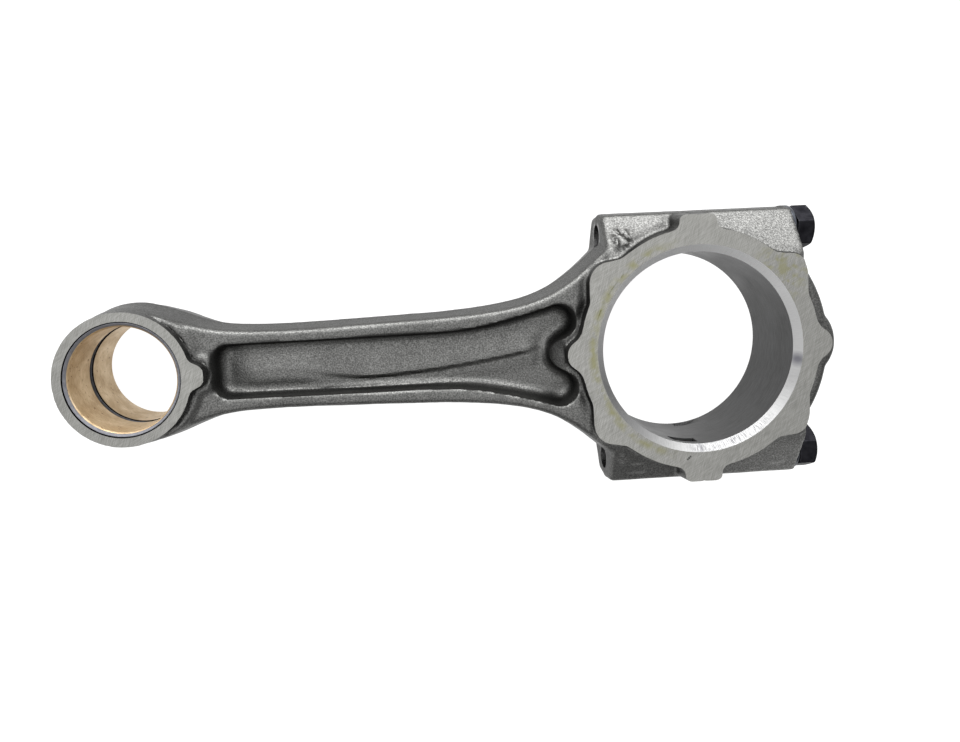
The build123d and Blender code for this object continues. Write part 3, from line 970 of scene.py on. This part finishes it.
steel_backing = backing_material()
bronze = bronze_material()
lining_mouth_z = BUSH_FACE_Z - (PIN_HOUSING_R - BUSH_RIM - BUSH_R)
backing_mouth_z = lining_mouth_z + LINING_R - BUSH_R
for end, facing in (("front", 1), ("rear", -1)):
    piece = bush_layer(f"bush_backing_{end}", PIN_HOUSING_R, LINING_R, backing_mouth_z, facing)
    coat(piece, steel_backing)
    hand_over(piece, "rod", f"pin_bush_backing_{end}")
    piece = bush_layer(f"bush_lining_{end}", LINING_R, BUSH_R, lining_mouth_z, facing)
    coat(piece, bronze)
    hand_over(piece, "rod", f"pin_bush_lining_{end}")

# ---------------------------------------------------------------- floor, light, camera

FLOOR_HALF = 4
FLOOR_GAP = 0.2 * MM

# Directions of the world's bright side and of its glow
UP_SIDE = (-0.12, 0.93, 0.35)
GLOW_SIDE = (0.0, -0.42, 0.907)

SOFTBOX_DIRECTION = (0.1, 0.86, 0.42)
SOFTBOX_DISTANCE = 1.2
SOFTBOX_SIZE = (1.5, 0.5)
SOFTBOX_POWER = 9

CAMERA_PLACE = (-96.2 * MM, 35.7 * MM, 272.2 * MM)
CAMERA_ANGLES = (-4.104, -2.946, -2.692)
CAMERA_LENS = 27.13
CAMERA_SHIFT = (0.0152, -0.0593)
CAMERA_CLIP_START = 0.01

floor_mesh = bpy.data.meshes.new("floor")
corners = [(x * FLOOR_HALF, y * FLOOR_HALF, 0) for x, y in ((-1, -1), (1, -1), (1, 1), (-1, 1))]
floor_mesh.from_pydata(corners, [], [(0, 1, 2, 3)])
floor = add_object("floor", floor_mesh)
floor.location.z = CAD_BOX[0].z - FLOOR_GAP
pale = Shading("pale_floor", Roughness=0.9)
pale.colour(pale.ramp(pale.noise(50 * MM), [(0.3, 0.11), (0.7, 0.13)]))
pale.shader.inputs["Emission Color"].default_value = (1, 1, 1, 1)
pale.shader.inputs["Emission Strength"].default_value = 1.0
floor_mesh.materials.append(pale.material)

scene = bpy.context.scene
scene.view_settings.view_transform = "Standard"


def studio_world():
    """Soft white room: a glow overhead, the brightest side towards +Y, the far side dark."""
    scene.world = bpy.data.worlds.new("studio")
    scene.world.use_nodes = True
    tree = scene.world.node_tree
    background = tree.nodes["Background"]
    view = tree.nodes.new("ShaderNodeTexCoord").outputs["Generated"]

    def part(towards, low, high, to_low, to_high):
        """Brightness that grows from to_low to to_high as a ray turns towards a direction."""
        dot = tree.nodes.new("ShaderNodeVectorMath")
        dot.operation = "DOT_PRODUCT"
        dot.inputs[1].default_value = towards
        tree.links.new(view, dot.inputs[0])
        span = tree.nodes.new("ShaderNodeMapRange")
        span.inputs["From Min"].default_value = low
        span.inputs["From Max"].default_value = high
        span.inputs["To Min"].default_value = to_low
        span.inputs["To Max"].default_value = to_high
        tree.links.new(dot.outputs["Value"], span.inputs["Value"])
        return span.outputs["Result"]

    def total(first, second):
        """Sum of two values."""
        add = tree.nodes.new("ShaderNodeMath")
        tree.links.new(first, add.inputs[0])
        tree.links.new(second, add.inputs[1])
        return add.outputs[0]

    room = part(UP_SIDE, -0.1, 0.95, 0.4, 1.9)
    side = part(UP_SIDE, 0.45, 0.95, 0.0, 2.0)
    glow = part(GLOW_SIDE, 0.84, 0.97, 0.0, 1.1)
    background.inputs["Color"].default_value = (1, 1, 1, 1)
    tree.links.new(total(total(room, side), glow), background.inputs["Strength"])


def area_light(name, direction, distance, size, power):
    """Soft box aimed at the middle of the rod."""
    light = bpy.data.lights.new(name, "AREA")
    light.shape = "RECTANGLE"
    light.size, light.size_y = size
    light.energy = power
    obj = bpy.data.objects.new(name, light)
    scene.collection.objects.link(obj)
    middle = (CAD_BOX[0] + CAD_BOX[1]) / 2
    obj.location = middle + Vector(direction).normalized() * distance
    obj.rotation_euler = (middle - obj.location).to_track_quat("-Z", "Y").to_euler()


studio_world()
area_light("key_softbox", SOFTBOX_DIRECTION, SOFTBOX_DISTANCE, SOFTBOX_SIZE, SOFTBOX_POWER)

camera = bpy.data.objects.new("camera", bpy.data.cameras.new("camera"))
scene.collection.objects.link(camera)
camera.location = CAMERA_PLACE
camera.rotation_euler = [radians(angle) for angle in CAMERA_ANGLES]
camera.data.lens = CAMERA_LENS
camera.data.shift_x, camera.data.shift_y = CAMERA_SHIFT
camera.data.clip_start = CAMERA_CLIP_START
scene.camera = camera
